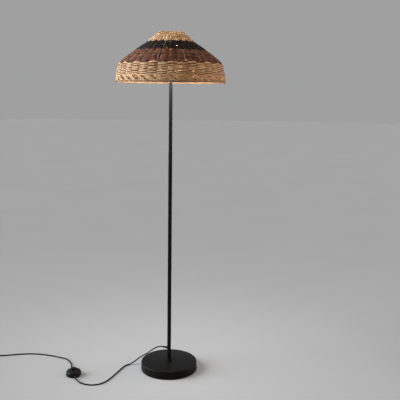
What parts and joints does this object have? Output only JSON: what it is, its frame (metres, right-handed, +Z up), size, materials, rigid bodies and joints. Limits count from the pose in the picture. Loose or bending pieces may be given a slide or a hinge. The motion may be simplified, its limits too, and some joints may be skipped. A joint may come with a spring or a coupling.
{
  "type": "floor lamp",
  "caption": "Floor lamp with a wide woven cane dome, open below and at the top, on a slim black pole with a round weighted base, a corded foot switch and a plug.",
  "frame": {"origin": "centre of the base's underside, on the floor", "axes": "+Z up along the pole, -Y towards the viewer, the cord's plug towards -X"},
  "size_m": [1.1507, 0.48, 1.5],
  "materials": {
    "black_paint": "satin black powder paint",
    "zinc": "zinc plated",
    "brass": "bright",
    "cast": "cast, matt",
    "felt": "matt felt",
    "black_plastic": "glossy black",
    "cord_black": "soft black sheath",
    "ceramic": "unglazed white",
    "opal_glass": "opal, lit warm white",
    "white_plastic": "satin white",
    "natural_cane": "natural split cane, woven",
    "black_cane": "cane dyed black, woven",
    "brown_cane": "cane dyed red-brown, woven",
    "wire": "black painted steel wire"
  },
  "bodies": {
    "lamp": {"base_pad": "felt", "base_weight": "cast", "base_cover": "black_paint", "base_stud": "zinc", "stud_washer": "zinc", "stud_nut": "zinc", "foot_collar": "black_paint", "foot_sleeve": "black_paint", "pole_lower": "black_paint", "pole_middle": "black_paint", "pole_upper": "black_paint", "foot_bush": "zinc", "pole_joiner_lower": "zinc", "pole_joiner_upper": "zinc", "top_bush": "zinc", "holder_nipple": "zinc", "holder_cap": "black_plastic", "holder_body": "black_plastic", "holder_insert": "ceramic", "holder_contact": "brass", "holder_liner": "brass", "shade_ring_lower": "black_plastic", "shade_ring_upper": "black_plastic", "bulb_glass": "opal_glass", "bulb_collar": "white_plastic", "bulb_cap": "brass", "bulb_contact": "zinc", "shade_spider": "wire", "rim_hoop": "wire", "weave_crown": "natural_cane", "weave_black": "black_cane", "weave_brown": "brown_cane", "weave_skirt": "natural_cane", "border_top": "natural_cane", "border_rim": "natural_cane", "cord_bush": "black_plastic", "inner_lead": "cord_black", "cord_to_switch": "cord_black", "cord_to_coil": "cord_black", "cord_to_plug": "cord_black", "cord_coil": "cord_black", "coil_tie": "felt", "switch_pad": "felt", "switch_base": "black_plastic", "switch_cover": "black_plastic", "switch_module": "black_plastic", "switch_terminal_in": "brass", "switch_terminal_out": "brass", "switch_boot_in": "black_plastic", "switch_boot_out": "black_plastic", "switch_screw_1": "zinc", "switch_screw_2": "zinc", "plug_body": "black_plastic", "plug_pin_1": "zinc", "plug_pin_2": "zinc"},
    "button": {"switch_button": "black_plastic"}
  },
  "joints": [
    {"name": "switch_button_press", "type": "slide", "parent": "lamp", "child": "button", "axis": [0, 0, -1], "range_m": [0, 0.004], "stiffness_N_per_m": 1500, "springref_m": -0.002}
  ]
}
